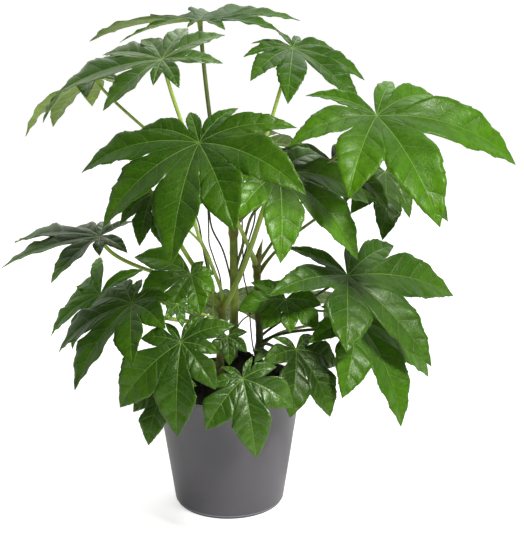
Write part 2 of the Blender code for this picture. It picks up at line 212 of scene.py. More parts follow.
def objectPlace(tree):
    return addNode("ShaderNodeTexCoord", {}, "Object", tree)


def noiseAt(tree, scale, detail=3.0, roughness=0.55, place=None):
    return addNode("ShaderNodeTexNoise", {
        "Vector": place or objectPlace(tree), "Scale": scale, "Detail": detail, "Roughness": roughness})


def layered(tint, *coats):  # coats of colour over a first one, each with its mask
    for mask, coat in coats:
        tint = addNode("ShaderNodeMix", {0: mask, 6: tint, 7: coat}, 2, data_type="RGBA")
    return tint


def addBump(shader, height, strength, distance, under=None):
    values = {"Height": height, "Strength": strength, "Distance": distance}
    if under:
        values["Normal"] = under
    bump = addNode("ShaderNodeBump", values)
    feed(shader.inputs, {"Normal": bump})
    return bump


# The plant's plan, as the frame has it, in millimetres and degrees

def metres(values):
    return tuple(value / 1000 for value in values)


def stem(foot, top, radii, bow, litShare, scales):
    return dict(foot=metres(foot), top=metres(top), radii=metres(radii), bow=bow / 1000, litShare=litShare,
                scales=scales)


# the fifth value is how lit the stem is, from bark in painted shade (0) to lit bark (1). Scales stand
# round the growing tip, each with its turn, length, width, lean outwards and how brown it is
stems = {
    "main": stem((4, 5), (10, 10, 575), (9.2, 7.5), 3, 1.0, (
        (60, 50, 4.0, 0.1, 0.0), (180, 38, 3.6, 0.25, 0.2), (300, 32, 3.4, 0.3, 0.0))),
    "left": stem((-14, -30), (-10, -30, 405), (7.5, 6.2), -3, 0.9, (
        (90, 26, 4.0, 0.1, 0.3), (200, 20, 3.6, 0.3, 0.9), (320, 18, 3.4, 0.3, 0.6))),
    "right": stem((56, 30), (53, 32, 470), (8.0, 6.5), 4, 0.45, (
        (0, 52, 4.2, 0.18, 0.05), (335, 44, 5.2, 0.14, 1.0), (200, 30, 3.6, 0.2, 0.2),
        (290, 30, 4.4, 0.20, 1.0))),
}
# Thinner stalks that run up beside the stems: the leaf that each one reaches, where along that leaf's
# own stalk it ends, its radius, how lit it is, from dark in painted shade (0) to lit light green (1),
# and the places it passes
sideStalks = {
    "main": (
        ("high_left", 0.35, 1.8, 0.15, (6, 8, 431), (2, 6, 455), (-10, 2, 500), (-29, -4, 542),
         (-35, -10, 587)),
        ("high_right", 0.30, 1.6, 0.0, (15, 12, 434), (22, 14, 461), (32, 18, 489), (41, 22, 519),
         (51, 30, 560)),
        ("right_wide", 0.25, 2.8, 0.4, (14, 8, 462), (25, 0, 497), (33, -10, 528), (46, -20, 570)),
        ("inner_right", 0.95, 1.5, 0.5, (12, 0, 336), (22, -4, 357), (32, -6, 368), (45, -8, 376),
         (68, -12, 389)),
    ),
    "left": (
        ("centre_wide", 1.0, 3.4, 1.0, (-10, -30, 400), (-12, -32, 430), (-24, -42, 468),
         (-35, -52, 502), (-50, -75, 545), (-57, -105, 606)),
        ("behind_centre", 0.9, 2.2, 0.75, (-12, -31, 340), (-25, -36, 381), (-27, -36, 412),
         (-32, -36, 460), (-39, -36, 496), (-53, -36, 527)),
        ("back_left", 0.30, 1.4, 0.0, (-11, -24, 395), (-14, -10, 445), (-26, 0, 482), (-35, 6, 511),
         (-36, 12, 542), (-41, 30, 588)),
        ("back_left", 0.28, 1.6, 0.1, (-13, -26, 390), (-31, -20, 444), (-41, -10, 478), (-47, 0, 507),
         (-53, 10, 541), (-64, 30, 579)),
    ),
    "right": (
        ("back_high", 0.5, 1.4, 0.0, (56, 30, 262), (46, 32, 300), (41, 35, 351), (39, 35, 385),
         (33, 40, 418), (28, 50, 451)),
        ("right_low", 0.85, 2.6, 0.0, (55, 30, 300), (64, 35, 319), (80, 40, 332), (99, 40, 346),
         (140, 20, 385)),
        ("right_low", 0.75, 1.5, 0.0, (55, 30, 305), (58, 35, 323), (72, 40, 338), (86, 45, 353),
         (125, 25, 405)),
        ("back_low_right", 0.9, 2.6, 0.35, (56, 30, 325), (64, 40, 345), (80, 60, 351), (120, 100, 354)),
    ),
}
evenLobes = {
    5: {-100: 0.70, -50: 0.92, 0: 1.0, 50: 0.92, 100: 0.70},
    7: {-132: 0.58, -87: 0.82, -43: 0.95, 0: 1.0, 43: 0.95, 87: 0.82, 132: 0.58},
}


def even(count, reach):
    return {angle: share * reach for angle, share in evenLobes[count].items()}


def fullLobe(angle, size, usualDroop):  # lobes near the heel are narrower
    length, width, droop = (*size, usualDroop)[:3] if isinstance(size, tuple) else (size, 1, usualDroop)
    nearHeel = min(max(abs(angle) - 75, 0) / 45, 1)
    return angle, length / 1000, droop, width * (1 - 0.28 * nearHeel)


# fresh goes from old dark green (0) to young lime (1), and below 0 towards painted shade, stalk from
# dark in painted shade (0) to lit light green (1), arch bends the lobes more between hub and tip, width
# is a share of the lobes' usual width, cut of the usual depth between them, turn is the share of its
# length over which a stalk bends to meet its blade, thick a share of the stalk's usual radius, gloss of
# the usual sheen, and shade is how much painted shade darkens the blade round its hub
usualLeaf = dict(fresh=0.4, stalk=0.5, arch=0, width=0.9, cut=1.0, turn=0.3, thick=1.0, gloss=1.0, shade=0.2)


def leaf(stemName, scar, hub, heading, dip, roll, droop, lobes, **own):
    return dict({**usualLeaf, **own}, stem=stemName, scar=scar / 1000, hub=metres(hub), heading=heading,
                dip=dip, roll=roll, lobes=[fullLobe(angle, size, droop) for angle, size in lobes.items()])


# A stalk leaves its stem at scar height, and hub is where stalk and blade meet. Lobes are
# angle: length, or angle: (length, share of the usual width, droop of its own).
leaves = {
    "crown": leaf("main", 530, (-53, 120, 914), 94, -4, -4, 42, {
        -150: 90, -117: 165, -82: (196, 1, 36), -47: (200, 1, 31), -10: (190, 1, 31), 30: 200,
        72: 232, 112: 165, 150: 50}, fresh=0.5, stalk=0.35, arch=-12, thick=1.3, gloss=0.2),
    "high_left": leaf("main", 545, (-112, -33, 852), 190, 15, -30, 45, {
        -158: 140, -124: 125, -82: 105, -45: 140, -10: 205, 27: 145, 60: 62, 98: 80,
        160: 110}, fresh=0.45, stalk=1.0, arch=-10, thick=1.15, gloss=2.2),
    "back_left": leaf("main", 560, (-252, 130, 802), 190, 20, 11, 60, {
        -120: 90, -75: 120, -38: 160, 0: 180, 38: 165, 75: 120, 120: 80},
        fresh=0.7, stalk=0.9, arch=-10, turn=0.12),
    "high_right": leaf("main", 560, (122, 80, 865), -50, 30, 3, 40, {
        -122: 80, -94: 110, -67: 150, -38: 170, 14: 175, 48: 150, 88: 110, 130: 70,
        168: 75}, fresh=0.5, stalk=1.0, arch=-8, width=0.72, cut=0.75, thick=1.15, gloss=0.5),
    "right_wide": leaf("main", 540, (266, -60, 756), -50, 35, 16, 45, {
        -147: 140, -98: (175, 1.10), -49: (190, 1.20), -6: (245, 1.05), 52: (285, 0.88, 50),
        96: 160, 128: 130}, fresh=0.7, width=0.84, gloss=0.55, shade=0.4),
    "centre_wide": leaf("right", 462, (-41, -170, 724), -110, 45, 0, 40, {
        -150: 85, -101: 140, -75: (228, 0.80), -39: (220, 0.88), 2: 230, 33: (190, 1.10),
        70: (220, 0.80), 110: (170, 0.75), 153: 100},
        fresh=0.5, stalk=1.0, arch=6, width=0.92, thick=1.3, gloss=0.6),
    "centre_right": leaf("left", 395, (94, -60, 655), -60, 45, 0, 45, {
        -130: 80, -90: 100, -56: 140, -18: 182, 30: (215, 0.85), 70: (200, 0.90), 110: 130},
        fresh=0.75, stalk=0.9, thick=1.6, shade=0.95),
    "shade_right": leaf("right", 460, (199, 100, 649), -40, 40, 0, 40, {
        -120: 120, -74: 115, -22: 100, 29: 150, 72: 130, 115: 90},
        fresh=-0.35, gloss=0.3, shade=0.6),
    "back_right": leaf("right", 440, (316, 230, 608), -50, 50, 0, 40, {
        -95: 100, -61: 150, -30: 165, 8: 110, 45: 185, 85: 120}, fresh=0.2),
    "right_low": leaf("right", 410, (223, -30, 457), -40, 45, 10, 35, {
        -142: 130, -99: 180, -38: (162, 1.6), 15: 230, 62: 255, 98: 165, 130: 110},
        arch=-8, width=0.80, gloss=0.8),
    "right_under": leaf("right", 300, (243, -20, 368), -45, 50, 0, 45, {
        -130: 80, -86: 130, -41: (170, 1.25), 1: 220, 44: 210, 86: 140, 130: 80},
        fresh=0.65, stalk=0.2, width=0.82, cut=0.8, gloss=0.6),
    "front_right": leaf("right", 295, (126, -100, 336), -50, 55, 0, 40, {
        -135: 50, -85: (80, 1.10), -28: (130, 1.15), 12: (140, 1.10), 61: (100, 1.30), 110: 60},
        fresh=-0.1, width=1.0, cut=1.10, stalk=0.2, gloss=0.6, shade=0.6),
    "front_low": leaf("left", 265, (31, -210, 321), -75, 60, 10, 40, {
        -127: 45, -85: 62, -43: (110, 1.45), 3: (140, 1.20), 54: (102, 1.50), 104: (65, 1.20),
        150: 45}, fresh=0.55, cut=1.15, gloss=1.5),
    "front_left": leaf("left", 300, (-76, -190, 381), -90, 60, 10, 40, {
        -140: 50, -98: (78, 1.30), -46: (160, 1.35), -3: (165, 1.20), 36: (105, 1.20), 72: 70,
        107: (100, 1.20), 145: 60}, cut=1.15),
    "left_low": leaf("left", 340, (-166, -130, 432), -140, 40, 0, 40, {
        -145: 70, -112: 100, -80: 125, -41: 180, 0: 185, 44: 140, 82: 110, 120: 85,
        152: 60}, fresh=0.35, width=1.10, cut=1.10, stalk=1.0, thick=1.3, gloss=0.5),
    "left_back": leaf("left", 380, (-248, 40, 400), 200, 40, -15, 45, {
        -109: (150, 0.50), -81: 105, -50: 110, -20: 140, 20: 120, 65: 100, 120: 80,
        170: 100}, fresh=0.8, width=1.05, gloss=0.4),
    "left_high": leaf("left", 400, (-231, -50, 537), 190, 15, -12, 40, {
        -150: 80, -105: 80, -65: 110, -40: 220, -12: 200, 42: 140, 82: 65, 117: 90},
        fresh=0.45, stalk=1.0, arch=-10, thick=1.2, gloss=1.5),
    "behind_centre": leaf("left", 398, (-134, -30, 613), -100, 45, 0, 40, {
        -118: 55, -78: 80, -39: 85, -5: 110, 20: 120, 65: 90, 110: 70},
        fresh=0.3, stalk=1.0, thick=1.4),
    "centre_low": leaf("left", 380, (-66, -60, 467), -90, 45, 0, 40, {
        -113: 120, -67: 105, -25: 90, 14: 83, 52: 58, 96: 45, 144: 40},
        fresh=0.78, width=1.30, gloss=1.3, shade=0.5),
    "young": leaf("left", 360, (-83, -170, 443), -60, 60, 0, 30, even(5, 42), fresh=0.6, stalk=1.0),
    "inner_right": leaf("right", 360, (108, -30, 412), -80, 45, 0, 35, {
        -125: 75, -80: 95, -40: 78, 0: 70, 40: 85, 78: 70},
        fresh=0.65, width=1.30, cut=1.2, gloss=0.8),
    "inner_low": leaf("right", 285, (76, -10, 302), -80, 25, 0, 30, even(5, 45), fresh=0.1),
    "inner_left": leaf("left", 325, (0, -70, 352), -80, 60, 0, 35, {
        -100: 40, -48: 48, 0: 55, 48: 48, 100: 40}, fresh=0.2, width=1.05),
    "under_left": leaf("left", 280, (-110, -120, 282), -110, 60, 0, 35, {
        -135: 60, -95: 100, -42: 85, -7: 120, 40: 80, 90: 60}, fresh=0.3, width=1.15),
    "back_high": leaf("main", 530, (40, 260, 660), 80, 40, 0, 45, even(7, 180), fresh=0.3),
    "back_low": leaf("main", 340, (0, 190, 350), 115, 45, 0, 45, even(7, 130), fresh=0.2),
    "back_low_right": leaf("right", 290, (235, 190, 335), 50, 45, 0, 45, even(7, 140), fresh=0.2),
}


def leafTurn(plan):
    return Euler([radians(plan[key]) for key in ("roll", "dip", "heading")], "XYZ").to_matrix()


# Blades: a flat net for each leaf, with rows that run forward from midrib to edge as the side
# veins do, is bent into the leaf by geometry nodes. Lengths are shares of the lobe's length.
blade = dict(
    halfWidth=0.235,
    outline=((0.0, 0.0), (0.06, 0.24), (0.2, 0.60), (0.33, 0.88), (0.42, 0.98), (0.50, 1.0), (0.58, 0.94),
             (0.66, 0.82), (0.74, 0.67), (0.82, 0.49), (0.90, 0.28), (0.95, 0.14), (1.0, 0.0)),
    softness=0.008,
    sinusDepth=0.37,
    sinusGap=0.022,
    gapReach=(0.01, 0.05),  # where the gap is widest, and how soon it closes
    overlap=0.025,
    overlapReach=0.10,
    stillReach=0.7,  # past the sinus, as a share of its radius, two lobes have parted
    twist=0.022,
    heelStart=0.30,
    heelGap=50,
    palmRows=6,
    palmVeins=0.7,  # the share of the base veins that starts on the palm
    shoulderRows=4,
    teeth=((0.13, 6), (0.08, 5), (0.0, 4)),  # lobes over this length have so many on a side
    teethFrom=0.50,
    teethTo=0.93,
    crowding=1.15,
    toothDepth=0.012,
    toothSizes=(0.4, 1.35),
    toothRows=(0.0, 0.35, 0.7, 0.92, 1.0),
    tipRows=(0.35, 0.70),
    columns=(0.0, 0.05, 0.15, 0.30, 0.48, 0.66, 0.84, 1.0),
    veinSlant=0.75,
    veinShare=0.5,
    baseVeins=4,
    ribFrom=0.012,
    ribTo=0.985,
    ribStep=0.006,
    lastRibs=(7, 0.004),  # so many points crowd together before the tip, this far apart
    rise=13,
    lean=0.075,
    fold=0.20,
    foldRounding=0.0015,
    puffDepth=0.010,
    ripple=0.010,
    thickness=0.0009,
    ribRadius=0.0017,
    ribSides=7,
    sideRibShare=0.34,
    sideRibSides=4,
)


def softMin(first, second):
    low = min(first, second)
    high = max(first, second)
    return low - blade["softness"] * log(1 + exp((low - high) / blade["softness"]))


def smoothCurve(points, x):  # a Catmull-Rom curve through points of rising x
    index = max(i for i, point in enumerate(points[:-1]) if x >= point[0] or i == 0)
    before = points[max(index - 1, 0)]
    start, end = points[index], points[index + 1]
    after = points[min(index + 2, len(points) - 1)]
    span = end[0] - start[0]
    t = min(max((x - start[0]) / span, 0), 1)
    leave = (end[1] - before[1]) / (end[0] - before[0]) * span
    arrive = (after[1] - start[1]) / (after[0] - start[0]) * span
    return (start[1] * (2 * t ** 3 - 3 * t ** 2 + 1) + leave * (t ** 3 - 2 * t ** 2 + t)
            + end[1] * (3 * t ** 2 - 2 * t ** 3) + arrive * (t ** 3 - t ** 2))


def halfLobe(length, halfGap, sinusRadius, width, shaker):
    # the edge from hub to tip as (along, aside, vein count), beside the next lobe up to the sinus
    sinusAlong = sinusRadius / length * cos(halfGap) if sinusRadius else blade["heelStart"]
    start = sinusAlong if sinusRadius else 0
    baseVeins, palmVeins = blade["baseVeins"], blade["palmVeins"]
    widest, closing = blade["gapReach"]
    rows = []

    def edge(along):  # half the lobe's width, clear of the next lobe's half
        natural = blade["halfWidth"] * width * smoothCurve(blade["outline"], along)
        past = max(along - start, 0)
        cross = blade["overlap"] * (1 - exp(-past / blade["overlapReach"]))
        cross -= blade["sinusGap"] * exp(-past / closing) * min(past / widest, 1)
        return max(softMin(natural, along * tan(halfGap) + cross), 0.0)

    for share in shares(blade["palmRows"])[1:]:
        along = sinusAlong * share
        aside = along * tan(halfGap) if sinusRadius else edge(along)
        rows.append((along, aside, share * baseVeins * palmVeins))
    for share in shares(blade["shoulderRows"])[1:]:
        along = between(sinusAlong, blade["teethFrom"], share)
        rows.append((along, edge(along), baseVeins * between(palmVeins, 1, share)))
    teeth = next(count for least, count in blade["teeth"] if length > least)
    ends = [between(blade["teethFrom"], blade["teethTo"], 1 - (1 - share) ** blade["crowding"])
            for share in shares(teeth)]
    for tooth in range(teeth):
        depth = blade["toothDepth"] * (1 - 0.5 * tooth / teeth) * shaker.uniform(*blade["toothSizes"])
        for rise in blade["toothRows"]:
            along = between(ends[tooth], ends[tooth + 1], 0.10 + 0.90 * rise)
            aside = edge(along) + depth * (rise ** 1.4 - 0.55)
            rows.append((along, max(aside, 0.004), baseVeins + tooth + 0.05 + 0.95 * rise))
    last = rows[-1]
    for share in blade["tipRows"]:
        along = between(last[0], 1, share)
        rows.append((along, max(edge(along), 0.002), last[2] + share))
    return rows


def ribPlaces(left, right):  # the midrib's points, each back along the vein from the edges' points
    places = []
    last, step = blade["lastRibs"]
    for one, other in zip(left, right):
        here = (one[0] + other[0]) / 2 - blade["veinSlant"] * (one[1] + other[1]) / 2
        low = places[-1] + blade["ribStep"] if places else blade["ribFrom"]
        places.append(min(max(here, low), blade["ribTo"]))
    for index in range(len(places) - last, len(places)):
        places[index] = min(places[index], blade["ribTo"] - step * (len(places) - index))
    return places


def liftAt(x, share, vein, count, phase, shared):  # how far the surface swells and flutters
    if shared:
        flutter, puff = 0, 0.2
    else:
        flutter = sin(count * 2.4 + phase) * share ** 3 * blade["ripple"] * min(x / 0.3, 1)
        puff = abs(sin(pi * vein)) ** 0.7 * share ** 0.5 * (1 - 0.75 * share ** 2)
    return blade["puffDepth"] * puff * min(x / 0.25, 1) + flutter


def netFor(plan, seed):  # the flat net of one leaf, with what the bend and the veins need
    shaker = random.Random(seed)
    marks = {name: [] for name in (
        "lobePlace", "lobeShape", "nearPlace", "nearShape", "nearShare", "vein", "lift")}
    faces, ribs, sideRibs = [], [], []
    lobes = [(angle, length, droop + plan["arch"]) for angle, length, droop, _ in plan["lobes"]]

    def addPoint(own, along, aside, vein, near=None, share=0.0, lift=0.0):
        angle, length, droop = own
        nearAngle, nearLength, nearDroop = near or own
        turn = radians(angle - nearAngle)
        x, y = along * length, aside * length
        nearPlace = (x * cos(turn) - y * sin(turn), x * sin(turn) + y * cos(turn), 0)
        for values, value in zip(marks.values(), (
                (x, y, 0), (radians(angle), length, radians(droop)),
                nearPlace, (radians(nearAngle), nearLength, radians(nearDroop)),
                share if near else 0.0, vein, lift * length)):
            values.append(value)
        return len(marks["lift"]) - 1

    hub = addPoint(lobes[0], 0, 0, (0, 0, 1))
    bisectors = {}
    for index, own in enumerate(lobes):
        angle, length, _ = own
        sides = []
        for sign in (-1, 1):
            other = index + sign
            if 0 <= other < len(lobes):
                near = lobes[other]
                halfGap = radians(abs(near[0] - angle) / 2)
                sinusRadius = blade["sinusDepth"] * plan["cut"] * min(length, near[1])
            else:
                near = None
                heelGap = (360 - lobes[-1][0] + lobes[0][0]) / 2
                halfGap = radians(min(heelGap, blade["heelGap"]))
                sinusRadius = 0
            edge = halfLobe(length, halfGap, sinusRadius, plan["width"] * plan["lobes"][index][3], shaker)
            sides.append((sign, other, near, halfGap, sinusRadius, edge))
        firstEdge = sides[0][5]
        ribAlong = ribPlaces(firstEdge, sides[1][5])
        ribRow = [hub] + [addPoint(own, along, 0, (row[2] * blade["veinShare"], 0, length))
                          for along, row in zip(ribAlong, firstEdge)]
        tip = addPoint(own, 1, 0, ((firstEdge[-1][2] + 0.3) * blade["veinShare"], 0, length))
        ribs += list(zip(ribRow, ribRow[1:] + [tip]))
        wave = shaker.uniform(0, tau)
        for sign, other, near, halfGap, sinusRadius, edge in sides:
            rows = [[hub] * len(blade["columns"])]
            for row, (along, aside, count) in enumerate(edge):
                vein = count * blade["veinShare"]
                points = [ribRow[row + 1]]
                for share in blade["columns"][1:]:
                    shared = near and share == 1 and row < blade["palmRows"]
                    key = (min(index, other), row)
                    if shared and key in bisectors:
                        points.append(bisectors[key])
                        continue
                    x = ribAlong[row] + (along - ribAlong[row]) * share ** 1.15
                    y = aside * share
                    away = atan2(y, max(x, 1e-6)) / halfGap
                    radius = hypot(x, y) * length
                    still = 1.0  # how much the lobe still goes with the next one
                    if near and radius > sinusRadius:
                        t = min((radius / sinusRadius - 1) / blade["stillReach"], 1)
                        still = 1 - t * t * (3 - 2 * t)
                    lift = liftAt(x, share, vein, count, wave + sign, shared)
                    lift += sign * blade["twist"] * (1 - still) * share ** 2
                    lift *= min(y / 0.12, 1)
                    point = addPoint(own, x, sign * y, (vein, share, length), near,
                                     0.5 * min(away, 1) ** 2 * still, lift)
                    if shared:
                        bisectors[key] = point
                    points.append(point)
                rows.append(points)
                if abs(vein - round(vein)) < 0.001 and round(vein) >= 1:
                    sideRibs += list(zip(points, points[1:]))
            rows.append([tip] * len(blade["columns"]))
            for lower, upper in zip(rows, rows[1:]):
                for column in range(len(blade["columns"]) - 1):
                    face = (lower[column], upper[column], upper[column + 1], lower[column + 1])
                    face = tuple(dict.fromkeys(face if sign > 0 else reversed(face)))
                    if len(face) > 2:
                        faces.append(face)

    mesh = bpy.data.meshes.new("net")
    mesh.from_pydata([(0, 0, 0)] * len(marks["lift"]), [], faces)
    for name, values in marks.items():
        addAttribute(mesh, name, values)
    for name in ("fresh", "gloss", "shade"):
        addAttribute(mesh, "leaf" + name.capitalize(), [plan[name]] * len(marks["lift"]))
    edgeOf = {tuple(sorted(edge.vertices)): edge.index for edge in mesh.edges}
    for name, chosen in (("midrib", ribs), ("sideRib", sideRibs)):
        picked = [False] * len(mesh.edges)
        for pair in chosen:
            picked[edgeOf[tuple(sorted(pair))]] = True
        addAttribute(mesh, name, picked, "EDGE")
    return mesh


def bendLobeGroup():
    # where a spot of a flat lobe lies once the lobe rises from the hub, bends down evenly and
    # folds up from its midrib
    tree, given, result = makeGroup("bendLobe", "GeometryNodeTree", [
        ("Shape", "Vector"), ("Place", "Vector"), ("Lift", "Float", 0),
        ("Rise", "Float", radians(blade["rise"])), ("Fold", "Float", blade["fold"]),
        ("Fold Rounding", "Float", blade["foldRounding"]), ("Lean", "Float", 0)], [("Position", "Vector")])
    rise, rounding = given["Rise"], given["Fold Rounding"]
    angle, length, droop = split(given["Shape"])
    along, aside, _ = split(given["Place"])
    bend = droop / length
    slope = rise - bend * along
    sinSlope, cosSlope = calc("SINE", slope), calc("COSINE", slope)
    run = (calc("SINE", rise) - sinSlope) / bend
    climb = (cosSlope - calc("COSINE", rise)) / bend
    side = calc("SQRT", aside * aside + rounding * rounding) - rounding
    up = side * given["Fold"] + given["Lift"]
    forward = run - sinSlope * up
    sinAngle, cosAngle = calc("SINE", angle), calc("COSINE", angle)
    share = along / length
    arch = share * (1.0 - share) * length
    across = aside + given["Lean"] * sinAngle * (arch * 4.0)
    feed(result, {"Position": addNode("ShaderNodeCombineXYZ", {
        "X": cosAngle * forward - sinAngle * across,
        "Y": sinAngle * forward + cosAngle * across,
        "Z": climb + cosSlope * up})})
    return tree


def ribTube(mesh, chosen, radius, sides, material):  # a tapering rib under the blade
    tree = mesh.tree
    _, share, length = split(readAttribute(tree, "vein"))
    along, _, _ = split(readAttribute(tree, "lobePlace"))
    taper = 1.08 - calc("MAXIMUM", along / length, share)
    size = taper * radius * calc("MINIMUM", length / 0.2, 1.0)
    curve = shaped("MeshToCurve", {"Mesh": mesh, "Selection": readAttribute(tree, chosen, "BOOLEAN")})
    down = scaled(readAttribute(tree, "bladeUp"), size * -0.75)
    curve = shaped("SetPosition", {"Geometry": curve, "Offset": down})
    return covered(tubeAlong(curve, sides, size), material)


def leafTree(bendLobe):
    tree, given, result = makeGroup("shapeLeaf", "GeometryNodeTree", [
        ("Net", "Geometry"), ("Thickness", "Float", blade["thickness"]),
        ("Rib Radius", "Float", blade["ribRadius"]), ("Lean", "Float", 0.0),
        ("Rise", "Float", radians(blade["rise"])), ("Upper Face", "Material"),
        ("Lower Face", "Material"), ("Rib", "Material")], [("Leaf", "Geometry")])
    own, near = [placeGroup(bendLobe, {
        "Shape": readAttribute(tree, which + "Shape"), "Place": readAttribute(tree, which + "Place"),
        "Lift": readAttribute(tree, "lift", "FLOAT"), "Lean": given["Lean"], "Rise": given["Rise"],
    }) for which in ("lobe", "near")]
    spot = addNode("ShaderNodeMix", {
        0: readAttribute(tree, "nearShare", "FLOAT"), 4: own, 5: near}, 1, data_type="VECTOR")
    bent = shaped("SetPosition", {"Geometry": given["Net"], "Position": spot})
    normal = shaped("InputNormal", {}, tree=tree)
    bent = shaped("StoreNamedAttribute", {
        "Geometry": bent, "Name": "bladeUp", "Value": normal}, data_type="FLOAT_VECTOR", domain="POINT")
    halfDown = scaled(normal, given["Thickness"] * -0.5)
    lowered = shaped("SetPosition", {"Geometry": bent, "Offset": halfDown})
    raised, top, side = shaped("ExtrudeMesh", {
        "Mesh": lowered, "Offset": readAttribute(tree, "bladeUp"), "Offset Scale": given["Thickness"],
        "Individual": False}, ("Mesh", "Top", "Side"), mode="FACES")
    skin = addNode("FunctionNodeBooleanMath", {0: top, 1: side}, operation="OR")
    upper = covered(covered(raised, given["Lower Face"]), given["Upper Face"], skin)
    under = covered(shaped("FlipFaces", {"Mesh": lowered}), given["Lower Face"])
    welded = shaped("MergeByDistance", {"Geometry": joined(upper, under), "Distance": 0.00002})
    radius = given["Rib Radius"]
    midribs = ribTube(bent, "midrib", radius, blade["ribSides"], given["Rib"])
    sideRibs = ribTube(bent, "sideRib", radius * blade["sideRibShare"], blade["sideRibSides"], given["Rib"])
    feed(result, {"Leaf": finished(joined(welded, midribs, sideRibs))})
    return tree


# Leaf materials
veinPlan = dict(
    midribWidth=0.0011,
    sideWidth=0.00055,
    sideWidthBelow=0.0008,
    spacing=0.17,  # as a share of the lobe's length
    netScale=170.0,
)


def offWhole(value):  # 0 half way between two whole numbers, up to 0.5 at each
    return calc("ABSOLUTE", calc("FRACT", value) - 0.5)


def veinGroup():
    # masks of the veins on a blade: Place is (along, aside) in metres on the lobe, and Vein is
    # (count of side veins passed, share of the way to the edge, lobe length)
    tree, given, result = makeGroup("leafVeins", "ShaderNodeTree", [
        ("Place", "Vector"), ("Vein", "Vector"), ("Midrib Width", "Float", veinPlan["midribWidth"]),
        ("Side Width", "Float", veinPlan["sideWidth"]), ("Net Scale", "Float", veinPlan["netScale"])],
        [("Midrib", "Float"), ("Side Veins", "Float"), ("Net", "Float")])
    along, aside, _ = split(given["Place"])
    count, share, length = split(given["Vein"])
    width = given["Midrib Width"] * (1.12 - along / calc("MAXIMUM", length, 0.01))
    midrib = fade(calc("ABSOLUTE", aside), width * 0.55, width, 1.0, 0.0)
    spacing = length * veinPlan["spacing"]
    sideWidth = given["Side Width"] * (1.25 - share)
    side = fade(offWhole(count + 0.5) * spacing, sideWidth * 0.4, sideWidth, 1.0, 0.0)
    # a fainter vein between each two
    fainter = offWhole(calc("MULTIPLY_ADD", count, 2.0, 0.5)) * (spacing * 0.5)
    fainter = fade(fainter, sideWidth * 0.3, sideWidth * 0.8, 0.55, 0.0)
    cells = addNode("ShaderNodeTexVoronoi", {
        "Vector": given["Place"], "Scale": given["Net Scale"], "Randomness": 0.9},
        "Distance", feature="DISTANCE_TO_EDGE")
    feed(result, {"Midrib": midrib, "Side Veins": calc("MAXIMUM", side, fainter) * fade(count, 0.3, 0.9),
                  "Net": fade(cells, 0.02, 0.14, 1.0, 0.0)})
    return tree


def leafSurface(tree, veins, sideWidth=veinPlan["sideWidth"]):  # what both faces read
    place, vein = readSurface(tree, "lobePlace", "Vector"), readSurface(tree, "vein", "Vector")
    masks = placeGroup(veins, {"Place": place, "Vein": vein, "Side Width": sideWidth},
                       ("Midrib", "Side Veins", "Net"))
    return place, vein, readSurface(tree, "leafFresh"), masks


upperLook = dict(
    shaded=colour(14, 30, 4),
    old=colour(22, 51, 3),
    grown=colour(37, 78, 2),
    young=colour(97, 160, 7),
    patch=colour(84, 128, 7),
    tip=colour(94, 147, 7),
    mottleAndCreaseShade=colour(28, 48, 8),
    vein=colour(112, 150, 58),
    netShare=0.10,
    sideVeinShare=0.25,
    glint=(0.84, 1.0, 0.58, 1.0),
    bloom=(0.84, 1.0, 0.62, 1.0),
    specular=0.34,
    coat=0.24,
    sheen=0.06,
    roughness=(0.36, 0.50),
)


def upperFaceMaterial(veins):
    look = upperLook
    material, tree, shader = newMaterial(
        "leafUpperFace", Specular_Tint=look["glint"], Coat_Roughness=0.26, Sheen_Roughness=0.45,
        Sheen_Tint=look["bloom"])
    place, vein, fresh, (midrib, sideVeins, net) = leafSurface(tree, veins)
    gloss = readSurface(tree, "leafGloss")
    count, share, length = split(vein)
    along, _, _ = split(place)
    tipShare = along / calc("MAXIMUM", length, 0.01)
    patches = noiseAt(tree, 9.0, 4.0)
    fine = noiseAt(tree, 120.0, 2.0)
    wave = calc("ABSOLUTE", calc("SINE", count * pi))  # 0 on a side vein, 1 between two
    green = layered(
        # painted shade: a blade with fresh below 0 keeps some of this shaded green
        look["shaded"],
        (fade(fresh, -0.5, 0.0), look["old"]),
        (fade(fresh, 0.0, 0.5), look["grown"]),
        (fade(fresh, 0.5, 1.0), look["young"]),
        (fade(patches, 0.35, 0.75, 0.0, 0.35), look["patch"]),
        (fade(tipShare, 0.4, 1.0, 0.0, 0.30), look["tip"]),
        # painted shade round the hub, as strong as the leaf's shade
        (readSurface(tree, "leafShade") * fade(tipShare, 0.15, 0.62, 1.0, 0.0), look["shaded"]),
        # dark mottling, with painted shade in the creases along the side veins
        (fade(fine + wave * -0.2, 0.1, 0.7, 0.0, 0.42), look["mottleAndCreaseShade"]),
        (net * look["netShare"], look["vein"]),
        (sideVeins * look["sideVeinShare"], look["vein"]),
        (midrib * fade(fresh, 0.0, 0.6, 0.45, 0.85), look["vein"]),
        (fade(share, 0.95, 1.0, 0.0, 0.28), look["vein"]))
    # between two side veins the blade swells a little
    quilt = calc("POWER", wave, 0.6) * fade(share, 0.0, 0.25, 0.0, 0.5) * fade(share, 0.75, 1.0, 1.0, 0.2)
    swell = noiseAt(tree, 15.0, 2.0) + noiseAt(tree, 50.0, 2.0) * 0.25
    swollen = addBump(shader, swell + quilt, 0.5, 0.0038)
    relief = fine * 0.35 - net * 0.45 - sideVeins * 0.8 - midrib
    finish = addBump(shader, relief, 0.45, 0.0006, swollen)
    feed(shader.inputs, {
        "Base Color": green, "Specular IOR Level": gloss * look["specular"],
        "Coat Weight": gloss * look["coat"], "Sheen Weight": gloss * look["sheen"],
        "Roughness": fade(patches, 0.3, 0.7, *look["roughness"]), "Coat Normal": finish})
    return material


lowerLook = dict(
    old=colour(66, 98, 40),
    young=colour(150, 176, 66),
    patch=colour(104, 132, 62),
    net=colour(156, 180, 108),
    vein=colour(172, 192, 118),
    rib=(colour(150, 176, 88), colour(178, 196, 112)),
)


